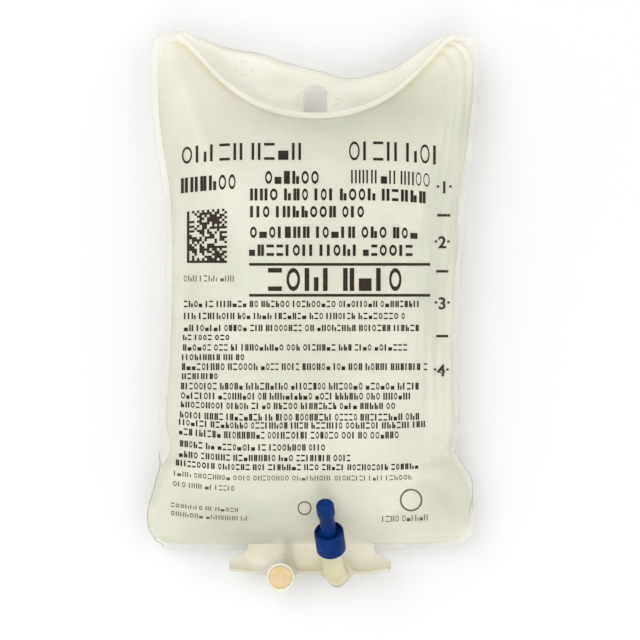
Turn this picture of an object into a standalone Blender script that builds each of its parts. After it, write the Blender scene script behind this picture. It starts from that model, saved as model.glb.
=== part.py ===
"""IV fluid bag that lies on its back: two PVC films welded all round, the saline between them, an
injection port with a reseal plug and an outlet port with a pull-off protector.

Metres, +Z up, +Y to the hanger end. The origin is on the flat patch that the bag rests on."""

import math

import bmesh
import bpy
import numpy as np
from mathutils import Vector
from mathutils.geometry import interpolate_bezier

# Film and fit
FILM = 0.0004  # gauge of the PVC film
GAP = 0.0003  # clearance between neighbouring pieces
FLUID_INSET = 0.0009  # the fluid ends this far inside the weld line
FLUID_GAP = 0.000375  # and lies this far off the films
FLUID_RIM_SHARE = 0.6  # the most of its last mesh cell that it gives up for that

# Plan of the filled chamber, from its foot weld at the ports to its ears
FOOT_REACH = 0.0860  # from the rest point to the foot weld
CHAMBER_LENGTH = 0.1933  # foot weld to the tips of the ears
LOBE_WIDTH = 0.1246
LOBE_HEIGHT = 0.0110
FOOT_ROUND = 0.0083
PINCH_WIDTH = 0.1056
PINCH_HEIGHT = 0.0360
HIP_WIDTH = 0.1108
HIP_HEIGHT = 0.0500
WAIST_WIDTH = 0.1086
WAIST_HEIGHT = 0.0910
EAR_WIDTH = 0.1218
EAR_ROUND = 0.0073
EAR_DROP = 0.0113  # from an ear's tip down to its widest place
ARC_DEPTH = 0.0302  # how far the hanger weld dips below the ears
ARC_HANDLE = 0.0360  # length of the flat bottom of that arc
EAR_HANDLE = 0.0080  # length of the round at its ends
ARC_STEPS = 40
CORNER_HANDLE = 0.55  # fullness of the rounds at the corners
SIDE_HANDLE = 0.42  # and of those along the sides

# Heights of the filled bag over the table
BAG_THICKNESS = 0.0420
SEAM_SIDE = 0.0140
SEAM_FOOT = 0.0080
SEAM_TOP = 0.0110
CROWN_POWER = 1.7  # fullness of the upper side
CONTACT_RISE = 0.50  # share of the inflation at which the underside leaves the table
CONTACT_POWER = 1.5
PINCH_VALLEY = 0.0035  # depth of the crease that runs in from each pinch
PINCH_REACH = 0.0150
PINCH_SPREAD = 0.0060
PINCH_SHARE = 0.5  # the most of the local rise that a crease takes
REST_LOW = 0.0001  # the underside bears on four places that are lower by this
REST_X = 0.0310
REST_FOOT_Y = -0.0500
REST_EAR_Y = 0.0450
REST_SPREAD = 0.0070

# Welded flange, hanger flap and its hole
FLANGE = 0.0026
CORNER_FILL = 0.0022  # extra flange at the four film corners
FLAP_HEIGHT = 0.0168
FLAP_DIP_X = 0.0070  # the flap's edge dips a little to one side
FLAP_DROOP = 0.0015
FLAP_POWER = 1.1  # flatness of the dip in the flap's edge
HOLE_WIDTH = 0.0086
HOLE_HEIGHT = 0.0098
HOLE_OVER_WELD = 0.0030
HOLE_STEPS = 10

# Port strip, the welded tail that curls up at the foot
STRIP_CENTRE = -0.0021
STRIP_ROOT = 0.0490
STRIP_END = 0.0620
STRIP_FLARE = 0.0060
STRIP_LENGTH = 0.0134
CURL_START = 0.0044
CURL_RADIUS = 0.0072
CURL_BOW = 0.0016

# Port tubes
TUBE_RADIUS = 0.0042
TUBE_WALL = 0.0010
TUBE_ROOT = -0.0003  # how far past the weld line the tubes begin
BULGE_MARGIN = 0.0010  # the film stands off the tubes by about this much
BULGE_REACH = 0.0056  # and comes back to the weld over this width
BULGE_FADE = 0.0110
DIAPHRAGM = 0.0004

# Injection port, nearly upright
INJECTION_X = -0.0133
INJECTION_TURN = math.radians(90)
INJECTION_LEAN = 0.0
INJECTION_STRAIGHT = 0.0046
MEMBRANE_FLANGE = 0.0006
MEMBRANE_DEPTH = 0.0045
SLEEVE_LENGTH = 0.0092
SLEEVE_WALL = 0.00045
PLUG_LENGTH = 0.0050
PLUG_RADIUS = 0.0044
PLUG_PROUD = 0.0003

# Outlet port, bent back over the bag
OUTLET_X = 0.0092
OUTLET_TURN = math.radians(140)
OUTLET_LEAN = math.radians(-9.5)
OUTLET_STRAIGHT = 0.0102
BEAD_RADIUS = 0.0049
BEAD_LENGTH = 0.0014
SPIKE_RADIUS = 0.0037
SPIKE_LENGTH = 0.0068
SOCKET_WALL = 0.0007
SOCKET_DEPTH = 0.0060
SOCKET_SHOULDER = 0.0008

# Pull-off protector
COLLAR_RADIUS = 0.0056
COLLAR_LENGTH = 0.0100
RIM_WALL = 0.0009
RECESS_DEPTH = 0.0015
NECK_RADIUS = 0.0029
NECK_LENGTH = 0.0083
KNOB_RADIUS = 0.0034
KNOB_LENGTH = 0.0064
EDGE = 0.0005

# Mesh density
SIDE_CELLS = 7
STRIP_CELLS = 16
SIDE_CROWDING = 1.5  # crowds the side cells towards the weld
EAR_ROWS = 3
SHOULDER_ROWS = 6
HIP_ROWS = 3
PINCH_ROWS = 2
LOBE_ROWS = 4
FOOT_ROWS = 3
BAND_CELLS = 2
STRIP_ROWS = 7
SIDES = 24
TURN_STEP = math.radians(17)
SHARP_ANGLE = math.radians(40)

foot_y = -FOOT_REACH
ear_y = foot_y + CHAMBER_LENGTH
apex_x = EAR_WIDTH / 2 - EAR_ROUND
foot_x = LOBE_WIDTH / 2 - FOOT_ROUND
arc_y = ear_y - ARC_DEPTH
half_gap = GAP / 2
bulge = TUBE_RADIUS + BULGE_MARGIN
PORTS = (
    {"x": INJECTION_X, "turn": INJECTION_TURN, "lean": INJECTION_LEAN},
    {"x": OUTLET_X, "turn": OUTLET_TURN, "lean": OUTLET_LEAN},
)


def smooth(t):
    t = min(max(t, 0.0), 1.0)
    return t * t * (3 - 2 * t)


def material(name, colour, roughness, alpha=1.0):
    made = bpy.data.materials.new(name)
    made.use_nodes = True
    shader = made.node_tree.nodes["Principled BSDF"]
    shader.inputs["Base Color"].default_value = (*colour, 1)
    shader.inputs["Roughness"].default_value = roughness
    shader.inputs["Metallic"].default_value = 0
    shader.inputs["Alpha"].default_value = alpha
    made.diffuse_color = (*colour, alpha)
    return made


def add_object(name, bm, finish):
    mesh = bpy.data.meshes.new(name)
    bm.to_mesh(mesh)
    bm.free()
    mesh.materials.append(finish)
    made = bpy.data.objects.new(name, mesh)
    bpy.context.scene.collection.objects.link(made)
    return made


# Plan outlines
def side_curve():
    """The right side of the weld line, foot to ear tip, as rounds between its widest and narrowest places."""
    knots = [
        (foot_x, foot_y, (1, 0)),
        (LOBE_WIDTH / 2, foot_y + LOBE_HEIGHT, (0, 1)),
        (PINCH_WIDTH / 2, foot_y + PINCH_HEIGHT, (0, 1)),
        (HIP_WIDTH / 2, foot_y + HIP_HEIGHT, (0, 1)),
        (WAIST_WIDTH / 2, foot_y + WAIST_HEIGHT, (0, 1)),
        (EAR_WIDTH / 2, ear_y - EAR_DROP, (0, 1)),
        (apex_x, ear_y, (-1, 0)),
    ]
    rows = [FOOT_ROWS, LOBE_ROWS, PINCH_ROWS, HIP_ROWS, SHOULDER_ROWS, EAR_ROWS]
    points = [Vector((foot_x, foot_y, 0))]
    for (ax, ay, along_a), (bx, by, along_b), count in zip(knots, knots[1:], rows):
        a, b = Vector((ax, ay, 0)), Vector((bx, by, 0))
        corner = abs(along_a[0]) + abs(along_b[0]) > 0
        reach = Vector((abs(b.x - a.x), abs(b.y - a.y), 0)) * (CORNER_HANDLE if corner else SIDE_HANDLE)
        handle_a = a + Vector((along_a[0] * reach.x, along_a[1] * reach.y, 0))
        handle_b = b - Vector((along_b[0] * reach.x, along_b[1] * reach.y, 0))
        points += interpolate_bezier(a, handle_a, handle_b, b, count + 1)[1:]
    return points


def arc_height(x):
    """Height of the hanger weld at x: a flat-bottomed arc that rounds over at the ears."""
    low, high = Vector((0, arc_y, 0)), Vector((apex_x, ear_y, 0))
    line = interpolate_bezier(
        low, low + Vector((ARC_HANDLE, 0, 0)), high - Vector((EAR_HANDLE, 0, 0)), high, ARC_STEPS
    )
    return float(np.interp(abs(x), [p.x for p in line], [p.y for p in line]))


def flap_height(x):
    """Height of the flap's free edge at x."""
    top = ear_y + FLANGE
    side = apex_x - FLAP_DIP_X if x > FLAP_DIP_X else apex_x + FLAP_DIP_X
    share = min(abs(x - FLAP_DIP_X) / side, 1.0)
    dip = top - (arc_y + FLAP_HEIGHT)
    return top - dip * (1 - smooth(share**FLAP_POWER))


def columns():
    """Places across the bag, -1 to 1: close together at the weld, even where the port strip joins."""
    inner = STRIP_ROOT / 2 / foot_x
    side = [1 - (1 - inner) * (k / SIDE_CELLS) ** SIDE_CROWDING for k in range(SIDE_CELLS)]
    middle = [inner - 2 * inner * k / STRIP_CELLS for k in range(STRIP_CELLS + 1)]
    right_to_left = side + middle + [-u for u in reversed(side)]
    return right_to_left[::-1]


def chamber_plan():
    """Plan of the chamber as rows of points, blended between its four edges."""
    right = side_curve()
    across = columns()
    plan = []
    for p in right:
        v = (p.y - foot_y) / CHAMBER_LENGTH
        row = []
        for u in across:
            foot = Vector((u * foot_x + STRIP_CENTRE * (1 - u * u), foot_y, 0))
            top = Vector((u * apex_x, arc_height(u * apex_x), 0))
            corner_foot = Vector((u * foot_x, foot_y, 0))
            corner_top = Vector((u * apex_x, ear_y, 0))
            side = Vector((u * p.x, p.y, 0))
            edges = foot * (1 - v) + top * v
            corners = corner_foot * (1 - v) + corner_top * v
            row.append(edges + side - corners)
        plan.append(row)
    return plan


def inflation(plan):
    """Height of a sheet blown up over the plan and held at its rim: 0 at the weld, 1 at the crown."""
    rows, cols = len(plan), len(plan[0])
    index = {}
    for j in range(1, rows - 1):
        for i in range(1, cols - 1):
            index[j, i] = len(index)
    balance = np.zeros((len(index), len(index)))
    load = np.zeros(len(index))
    for (j, i), k in index.items():
        here = plan[j][i]
        wide = (plan[j][i + 1] - plan[j][i - 1]).length / 2
        tall = (plan[j + 1][i] - plan[j - 1][i]).length / 2
        load[k] = wide * tall
        for dj, di, width in ((0, 1, tall), (0, -1, tall), (1, 0, wide), (-1, 0, wide)):
            pull = width / (plan[j + dj][i + di] - here).length
            balance[k, k] += pull
            if (j + dj, i + di) in index:
                balance[k, index[j + dj, i + di]] -= pull
    heights = np.linalg.solve(balance, load)
    heights /= heights.max()
    return {key: float(heights[k]) for key, k in index.items()}


# Heights
def seam_height(y):
    """Height of the weld over the table, low at the foot and at the hanger end."""
    v = min(max((y - foot_y) / CHAMBER_LENGTH, 0.0), 1.0)
    foot, top = max(1 - 2 * v, 0.0), max(2 * v - 1, 0.0)
    return SEAM_SIDE - (SEAM_SIDE - SEAM_FOOT) * foot**3 - (SEAM_SIDE - SEAM_TOP) * top**3


def tube_bulge(x, past_weld):
    """How far the films stand apart round the port tubes, at x and this far past the foot weld."""
    fade = smooth(1 + past_weld / BULGE_FADE)
    turn = max(past_weld - CURL_START, 0.0) / CURL_RADIUS
    total = 0.0
    for port in PORTS:
        centre = port["x"] + CURL_RADIUS * (1 - math.cos(turn)) * math.sin(port["lean"])
        away = abs(x - centre) / (TUBE_RADIUS + BULGE_REACH)
        if away < 1:
            total = max(total, bulge * (1 + math.cos(math.pi * away)) / 2)
    return total * fade


def chamber_heights(p, fill):
    """Inner faces of the back and the front film at a point of the chamber, fill being its inflation."""
    seam = seam_height(p.y)
    crown = BAG_THICKNESS - FILM - half_gap - SEAM_SIDE
    rise = crown * (1 - (1 - fill) ** CROWN_POWER)
    side_reach = (HIP_WIDTH / 2 - abs(p.x)) / PINCH_REACH
    crease = math.exp(-(((p.y - foot_y - PINCH_HEIGHT) / PINCH_SPREAD) ** 2))
    if side_reach > 0:
        crease *= math.exp(-(side_reach**2))
    rise -= min(PINCH_VALLEY, PINCH_SHARE * rise) * crease
    apart = tube_bulge(p.x, foot_y - p.y)
    front = seam + half_gap + (rise**3 + apart**3) ** (1 / 3)
    lift = max((CONTACT_RISE - fill) / CONTACT_RISE, 0.0) ** CONTACT_POWER
    back = min(FILM + (seam - half_gap - FILM) * lift, seam - half_gap - apart)
    low = 0.0
    for y in (REST_FOOT_Y, REST_EAR_Y):
        low += math.exp(-((abs(p.x) - REST_X) ** 2 + (p.y - y) ** 2) / REST_SPREAD**2)
    return max(back, FILM) - REST_LOW * low, front


# Port strip
def strip_place(x, past_weld):
    """Middle of the curled port strip and its upward normal, this far past the foot weld."""
    bow = CURL_BOW * ((x - STRIP_CENTRE) / (STRIP_END / 2)) ** 2
    start = CURL_START - bow
    turn = max(past_weld - start, 0.0) / CURL_RADIUS
    flat = min(past_weld, start)
    middle = Vector(
        (
            x,
            foot_y - flat - CURL_RADIUS * math.sin(turn),
            SEAM_FOOT + CURL_RADIUS * (1 - math.cos(turn)),
        )
    )
    return middle, Vector((0, math.sin(turn), math.cos(turn)))


def rim_normal(loop, k):
    before, after = loop[k - 1], loop[(k + 1) % len(loop)]
    along = (after - before).normalized()
    return Vector((along.y, -along.x, 0))


def film_sheet(side):
    """Inner face of one film: the chamber, the flange and flap round it and its half of the port strip.
    side is 1 for the front film and -1 for the back film. Returns the bmesh and its chamber grid."""
    plan = chamber_plan()
    fill = inflation(plan)
    rows, cols = len(plan), len(plan[0])
    bm = bmesh.new()
    bmesh.ops.create_grid(bm, x_segments=cols - 1, y_segments=rows - 1, size=1)
    ordered = sorted(bm.verts, key=lambda v: (round(v.co.y, 5), round(v.co.x, 5)))
    grid = [ordered[j * cols : (j + 1) * cols] for j in range(rows)]
    for j in range(rows):
        for i in range(cols):
            p = plan[j][i]
            level = fill.get((j, i))
            if level is None:
                z = seam_height(p.y) + side * (half_gap + tube_bulge(p.x, foot_y - p.y))
            else:
                z = chamber_heights(p, level)[0 if side < 0 else 1]
            grid[j][i].co = (p.x, p.y, z)
    foot_edge = [(0, i) for i in range(cols)]
    right_edge = [(j, cols - 1) for j in range(1, rows)]
    top_edge = [(rows - 1, i) for i in range(cols - 2, -1, -1)]
    left_edge = [(j, 0) for j in range(rows - 2, 0, -1)]
    ring = foot_edge + right_edge + top_edge + left_edge
    outline = [plan[j][i] for j, i in ring]
    current = [grid[j][i] for j, i in ring]
    for step in range(1, BAND_CELLS + 1):
        share = step / BAND_CELLS
        edges = [bm.edges.get((a, b)) for a, b in zip(current, current[1:] + current[:1])]
        made = bmesh.ops.extrude_edge_only(bm, edges=edges)["geom"]
        fresh = {g for g in made if isinstance(g, bmesh.types.BMVert)}
        following = []
        for k, (j, i) in enumerate(ring):
            source = current[k]
            grown = next(e.other_vert(source) for e in source.link_edges if e.other_vert(source) in fresh)
            p = outline[k]
            n = rim_normal(outline, k)
            z = seam_height(p.y) + side * half_gap
            if j == rows - 1:
                edge = Vector((p.x, flap_height(p.x), 0))
                width = (edge.y - p.y) * share
                place = p + (edge - p) * share
                z -= FLAP_DROOP * smooth(width / FLAP_HEIGHT)
            else:
                place = p + n * (FLANGE + CORNER_FILL * (2 * n.x * n.y) ** 2) * share
                if j == 0:
                    z += side * tube_bulge(place.x, foot_y - place.y)
            grown.co = (place.x, place.y, z)
            following.append(grown)
        current = following
    strip = current[SIDE_CELLS : SIDE_CELLS + STRIP_CELLS + 1]
    for row in range(1, STRIP_ROWS + 1):
        past = FLANGE + (STRIP_LENGTH - FLANGE) * row / STRIP_ROWS
        edges = [bm.edges.get((a, b)) for a, b in zip(strip, strip[1:])]
        made = bmesh.ops.extrude_edge_only(bm, edges=edges)["geom"]
        fresh = {g for g in made if isinstance(g, bmesh.types.BMVert)}
        flare = 1 + (STRIP_END / STRIP_ROOT - 1) * smooth((past - FLANGE) / STRIP_FLARE)
        following = []
        for k, source in enumerate(strip):
            grown = next(e.other_vert(source) for e in source.link_edges if e.other_vert(source) in fresh)
            x = STRIP_CENTRE + STRIP_ROOT * (k / STRIP_CELLS - 0.5) * flare
            middle, normal = strip_place(x, past)
            grown.co = middle + normal * side * (half_gap + tube_bulge(x, past))
            following.append(grown)
        strip = following
    bmesh.ops.recalc_face_normals(bm, faces=bm.faces)
    bmesh.ops.triangulate(bm, faces=bm.faces, quad_method="FIXED")
    bm.normal_update()
    if sum(f.normal.z * f.calc_area() for f in bm.faces) * side < 0:
        bmesh.ops.reverse_faces(bm, faces=bm.faces)
    return bm, grid


def add_film(name, side, finish):
    bm, _ = film_sheet(side)
    film = add_object(name, bm, finish)
    wall = film.modifiers.new("gauge", "SOLIDIFY")
    wall.thickness = FILM
    wall.offset = 1
    wall.use_even_offset = True
    wall.use_quality_normals = True
    hole = film.modifiers.new("hanger hole", "BOOLEAN")
    hole.operation = "DIFFERENCE"
    hole.object = bpy.data.objects["hole_cutter"]
    return film


def add_hole_cutter():
    """An arch: straight sides and a round top, cut through the flap."""
    low = arc_y + HOLE_OVER_WELD
    radius = HOLE_WIDTH / 2
    spring = low + HOLE_HEIGHT - radius
    bm = bmesh.new()
    outline = [bm.verts.new((radius, low, 0)), bm.verts.new((radius, spring, 0))]
    for k in range(1, HOLE_STEPS):
        angle = math.pi * k / HOLE_STEPS
        outline.append(bm.verts.new((radius * math.cos(angle), spring + radius * math.sin(angle), 0)))
    outline += [bm.verts.new((-radius, spring, 0)), bm.verts.new((-radius, low, 0))]
    face = bm.faces.new(outline)
    made = bmesh.ops.extrude_face_region(bm, geom=[face])["geom"]
    top = [v for v in made if isinstance(v, bmesh.types.BMVert)]
    bmesh.ops.translate(bm, verts=top, vec=(0, 0, 2 * SEAM_SIDE + FLAP_DROOP))
    bmesh.ops.recalc_face_normals(bm, faces=bm.faces)
    cutter = add_object("hole_cutter", bm, material("cutter", (1, 0, 0), 0.5))
    cutter.hide_render = True
    cutter.display_type = "WIRE"


def add_saline(finish):
    """The fluid: the space between the films, a gap inside them and ended just short of the weld."""
    shells = [film_sheet(1), film_sheet(-1)]
    rows, cols = len(shells[0][1]), len(shells[0][1][0])
    bm = bmesh.new()
    layers = []
    for _, grid in shells:
        layer = []
        for j in range(rows):
            line = []
            for i in range(cols):
                here = grid[j][i].co
                inner = grid[min(max(j, 1), rows - 2)][min(max(i, 1), cols - 2)].co
                if (inner - here).length > 0:
                    plan_gap = math.hypot(inner.x - here.x, inner.y - here.y)
                    here = here.lerp(inner, min(FLUID_INSET / plan_gap, FLUID_RIM_SHARE))
                line.append(bm.verts.new(here))
            layer.append(line)
        layers.append(layer)
    for level, layer in enumerate(layers):
        for j in range(rows - 1):
            for i in range(cols - 1):
                quad = [layer[j][i], layer[j][i + 1], layer[j + 1][i + 1], layer[j + 1][i]]
                for corners in ((0, 1, 2), (0, 2, 3)):
                    face = [quad[c] for c in corners]
                    bm.faces.new(face if level == 0 else face[::-1])
    rims = [e for e in bm.edges if e.is_boundary]
    bmesh.ops.bridge_loops(bm, edges=rims)
    bmesh.ops.recalc_face_normals(bm, faces=bm.faces)
    bm.normal_update()
    for v, push in [(v, v.normal.copy()) for v in bm.verts]:
        v.co -= push * FLUID_GAP
    for sheet, _ in shells:
        sheet.free()
    made = add_object("saline_fill", bm, finish)
    made.data.shade_smooth()


# Port tubes
def tube_path(port, straight):
    """Centre line of a port tube: flat between the films, round the curl and straight out."""
    across = Vector((math.sin(port["lean"]), 0, math.cos(port["lean"])))
    root = Vector((port["x"], foot_y - TUBE_ROOT, SEAM_FOOT))
    bow = CURL_BOW * ((port["x"] - STRIP_CENTRE) / (STRIP_END / 2)) ** 2
    start = Vector((port["x"], foot_y - CURL_START + bow, SEAM_FOOT))
    points, directions = [root, start], [Vector((0, -1, 0))] * 2
    steps = max(4, round(port["turn"] / TURN_STEP))
    for k in range(1, steps + 1):
        turn = port["turn"] * k / steps
        points.append(
            start - Vector((0, CURL_RADIUS * math.sin(turn), 0)) + across * CURL_RADIUS * (1 - math.cos(turn))
        )
        directions.append(Vector((0, -math.cos(turn), 0)) + across * math.sin(turn))
    points.append(points[-1] + directions[-1] * straight)
    directions.append(directions[-1])
    return points, directions


def port_end(port, straight):
    """Matrix that stands a turned piece on the end of a port's straight run, its axis along local Z."""
    points, directions = tube_path(port, straight)
    place = directions[-1].to_track_quat("Z", "Y").to_matrix().to_4x4()
    place.translation = points[-1]
    return place


def ring_of(bm, centre, direction, radius):
    turn = direction.to_track_quat("Z", "X").to_matrix().to_4x4()
    turn.translation = centre
    made = bmesh.ops.create_circle(bm, segments=SIDES, radius=radius, matrix=turn)
    return made["verts"]


def add_tube(name, port, straight, finish, bead_radius=None):
    """A port tube swept along its centre line, with a bead at its end where the port has one."""
    points, directions = tube_path(port, straight)
    stations = [(p, d, TUBE_RADIUS) for p, d in zip(points, directions)]
    if bead_radius:
        end, along = points[-1], directions[-1]
        stations[-1] = (end - along * BEAD_LENGTH, along, TUBE_RADIUS)
        stations.append((end - along * (BEAD_LENGTH - EDGE), along, bead_radius))
        stations.append((end - along * EDGE, along, bead_radius))
        stations.append((end, along, bead_radius - EDGE))
    bm = bmesh.new()
    outer = [ring_of(bm, p, d, r) for p, d, r in stations]
    inner = [ring_of(bm, p, d, TUBE_RADIUS - TUBE_WALL) for p, d in zip(points, directions)]
    loop = outer + inner[::-1]
    for a, b in zip(loop, loop[1:] + loop[:1]):
        for k in range(SIDES):
            bm.faces.new((a[k], a[(k + 1) % SIDES], b[(k + 1) % SIDES], b[k]))
    bmesh.ops.recalc_face_normals(bm, faces=bm.faces)
    tube = add_object(name, bm, finish)
    tube.data.shade_smooth()
    tube.data.set_sharp_from_angle(angle=SHARP_ANGLE)
    return tube


def add_turned(name, profile, place, finish):
    """A piece turned about its own Z from a profile of (radius, height) points, stood at place."""
    bm = bmesh.new()
    verts = [bm.verts.new((r, 0, z)) for r, z in profile]
    edges = [bm.edges.new((a, b)) for a, b in zip(verts, verts[1:])]
    if profile[0][0] > 0:
        edges.append(bm.edges.new((verts[-1], verts[0])))
    bmesh.ops.spin(
        bm,
        geom=verts + edges,
        cent=(0, 0, 0),
        axis=(0, 0, 1),
        angle=2 * math.pi,
        steps=SIDES,
        use_merge=True,
    )
    bmesh.ops.remove_doubles(bm, verts=bm.verts, dist=1e-6)
    bmesh.ops.recalc_face_normals(bm, faces=bm.faces)
    piece = add_object(name, bm, finish)
    piece.matrix_world = place
    piece.data.shade_smooth()
    piece.data.set_sharp_from_angle(angle=SHARP_ANGLE)
    return piece


def add_injection_port(pvc, clear, rubber):
    """Tube, inner membrane tube, reseal plug and the sleeve that holds the plug on the tube's end."""
    port = PORTS[0]
    tube_end = INJECTION_STRAIGHT
    add_tube("injection_port_tube", port, tube_end, pvc)
    seat = port_end(port, tube_end)
    inner = TUBE_RADIUS - TUBE_WALL - GAP
    bore = inner - SOCKET_WALL
    add_turned(
        "injection_membrane_tube",
        [
            (0, GAP + MEMBRANE_FLANGE - DIAPHRAGM),
            (bore, GAP + MEMBRANE_FLANGE - DIAPHRAGM),
            (bore, -MEMBRANE_DEPTH),
            (inner, -MEMBRANE_DEPTH),
            (inner, GAP),
            (TUBE_RADIUS, GAP),
            (TUBE_RADIUS, GAP + MEMBRANE_FLANGE),
            (0, GAP + MEMBRANE_FLANGE),
        ],
        seat,
        clear,
    )
    plug_foot = MEMBRANE_FLANGE + 2 * GAP
    plug_top = plug_foot + PLUG_LENGTH
    add_turned(
        "reseal_plug",
        [
            (0, plug_foot),
            (PLUG_RADIUS - EDGE, plug_foot),
            (PLUG_RADIUS, plug_foot + EDGE),
            (PLUG_RADIUS, plug_top - EDGE),
            (PLUG_RADIUS - EDGE, plug_top),
            (0, plug_top),
        ],
        seat,
        rubber,
    )
    bore = PLUG_RADIUS + GAP
    lip = plug_top - PLUG_PROUD
    add_turned(
        "injection_sleeve",
        [
            (bore, lip - SLEEVE_LENGTH),
            (bore + SLEEVE_WALL, lip - SLEEVE_LENGTH),
            (bore + SLEEVE_WALL, lip - SLEEVE_WALL / 2),
            (bore + SLEEVE_WALL / 2, lip),
            (bore, lip),
        ],
        seat,
        clear,
    )


def add_outlet_port(pvc, clear):
    """Tube with its end bead, and the spike socket with its diaphragm."""
    port = PORTS[1]
    add_tube("outlet_port_tube", port, OUTLET_STRAIGHT, pvc, BEAD_RADIUS)
    seat = port_end(port, OUTLET_STRAIGHT)
    inner = TUBE_RADIUS - TUBE_WALL - GAP
    bore = inner - SOCKET_WALL
    add_turned(
        "outlet_membrane_tube",
        [
            (0, 0),
            (bore, 0),
            (bore, -SOCKET_DEPTH),
            (inner, -SOCKET_DEPTH),
            (inner, GAP),
            (SPIKE_RADIUS, GAP),
            (SPIKE_RADIUS, SPIKE_LENGTH - EDGE),
            (SPIKE_RADIUS - EDGE, SPIKE_LENGTH),
            (bore, SPIKE_LENGTH),
            (bore, DIAPHRAGM + SOCKET_SHOULDER),
            (0, DIAPHRAGM),
        ],
        seat,
        clear,
    )


def add_protector(finish):
    """Moulded cap: a collar with a raised rim round a recess, a neck flared into it and a knob to pull.
    It slides off along the outlet port's axis, so its origin is on that axis."""
    place = port_end(PORTS[1], OUTLET_STRAIGHT)
    socket = SPIKE_RADIUS + GAP
    foot = GAP
    top = foot + COLLAR_LENGTH
    floor = top - RECESS_DEPTH
    knob = top + NECK_LENGTH
    tip = knob + KNOB_LENGTH
    add_turned(
        "port_protector",
        [
            (socket, foot),
            (COLLAR_RADIUS - EDGE, foot),
            (COLLAR_RADIUS, foot + EDGE),
            (COLLAR_RADIUS, top - EDGE),
            (COLLAR_RADIUS - EDGE, top),
            (COLLAR_RADIUS - RIM_WALL, top),
            (COLLAR_RADIUS - RIM_WALL, floor),
            (NECK_RADIUS + EDGE, floor),
            (NECK_RADIUS, floor + 2 * EDGE),
            (NECK_RADIUS, knob),
            (KNOB_RADIUS, knob + EDGE),
            (KNOB_RADIUS, tip - EDGE),
            (KNOB_RADIUS - EDGE, tip),
            (0, tip),
            (0, foot + SPIKE_LENGTH + GAP),
            (socket, foot + SPIKE_LENGTH + GAP),
            (socket, foot),
        ],
        place,
        finish,
    )


def main():
    for old in list(bpy.data.objects):
        bpy.data.objects.remove(old)
    film = material("PVC film", (0.82, 0.83, 0.74), 0.25, alpha=0.35)
    fluid = material("saline", (0.86, 0.88, 0.82), 0.02, alpha=0.5)
    pvc = material("soft PVC tube", (0.80, 0.76, 0.58), 0.35)
    clear = material("translucent PVC", (0.88, 0.86, 0.76), 0.3)
    rubber = material("reseal rubber", (0.80, 0.61, 0.34), 0.6)
    blue = material("moulded blue plastic", (0.0, 0.055, 0.22), 0.3)
    add_hole_cutter()
    add_film("front_film", 1, film)
    add_film("back_film", -1, film)
    add_saline(fluid)
    add_injection_port(pvc, clear, rubber)
    add_outlet_port(pvc, clear)
    add_protector(blue)
    bpy.context.view_layer.update()


main()
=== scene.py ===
import math
import random

import bmesh
import bpy
import numpy as np
from mathutils import Matrix, Vector, noise
from mathutils.bvhtree import BVHTree
from mathutils.geometry import interpolate_bezier


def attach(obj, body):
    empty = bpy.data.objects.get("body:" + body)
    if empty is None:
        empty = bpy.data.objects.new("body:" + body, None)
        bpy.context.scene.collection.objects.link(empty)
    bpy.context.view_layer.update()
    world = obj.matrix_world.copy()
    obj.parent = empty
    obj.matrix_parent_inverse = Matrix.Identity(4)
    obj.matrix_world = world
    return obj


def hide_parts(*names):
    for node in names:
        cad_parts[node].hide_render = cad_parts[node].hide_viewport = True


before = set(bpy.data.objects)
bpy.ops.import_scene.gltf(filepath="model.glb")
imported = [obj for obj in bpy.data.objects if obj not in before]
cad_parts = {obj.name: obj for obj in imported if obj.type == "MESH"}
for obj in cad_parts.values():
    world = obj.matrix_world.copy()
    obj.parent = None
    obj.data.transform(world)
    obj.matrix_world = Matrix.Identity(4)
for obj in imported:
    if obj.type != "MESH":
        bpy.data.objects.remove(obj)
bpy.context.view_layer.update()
mm = 0.001  # pieces are modelled in millimetres and shrunk to metres when they are finished


# Helpers
def hexColour(code):
    # sRGB hex to the linear colour that the shader wants
    channels = [int(code[i:i + 2], 16) / 255 for i in (1, 3, 5)]
    linear = [c / 12.92 if c <= 0.04045 else ((c + 0.055) / 1.055) ** 2.4 for c in channels]
    return (*linear, 1)


def addNode(tree, kind, settings=None, inputs=None, stops=()):
    # Adds a node, sets its properties, inputs and ramp stops; an input that is a socket is linked
    node = tree.nodes.new(kind)
    for name, value in (settings or {}).items():
        setattr(node, name, value)
    for name, value in (inputs or {}).items():
        if isinstance(value, bpy.types.NodeSocket):
            tree.links.new(value, node.inputs[name])
        else:
            node.inputs[name].default_value = value
    for spot, (place, code) in enumerate(stops):
        if spot > 1:
            node.color_ramp.elements.new(place)
        node.color_ramp.elements[spot].position = place
        node.color_ramp.elements[spot].color = hexColour(code)
    return node


def newMaterial(name, values):
    # A Principled material, with its uniform values set on the shader's own sockets
    made = bpy.data.materials.new(name)
    made.use_nodes = True
    shader = made.node_tree.nodes["Principled BSDF"]
    for socket, value in values.items():
        shader.inputs[socket].default_value = value
    return made, made.node_tree, shader


def addObject(name, data):
    made = bpy.data.objects.new(name, data)
    bpy.context.scene.collection.objects.link(made)
    return made


def meshFrom(name, bm, materials=()):
    # From a bmesh in millimetres to a mesh in metres
    bmesh.ops.scale(bm, vec=(mm, mm, mm), verts=bm.verts)
    mesh = bpy.data.meshes.new(name)
    bm.to_mesh(mesh)
    bm.free()
    for made in materials:
        mesh.materials.append(made)
    return mesh


def finishPiece(name, bm, materials, body="bag", sharpAngle=None):
    mesh = meshFrom(name, bm, materials)
    mesh.shade_smooth()
    if sharpAngle:
        mesh.set_sharp_from_angle(angle=math.radians(sharpAngle))
    piece = addObject(name, mesh)
    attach(piece, body)
    return piece


def bridgeRings(bm, a, b):
    edges = [bm.edges.get((ring[k - 1], ring[k])) for ring in (a, b) for k in range(len(ring))]
    return bmesh.ops.bridge_loops(bm, edges=edges)["faces"]


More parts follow.
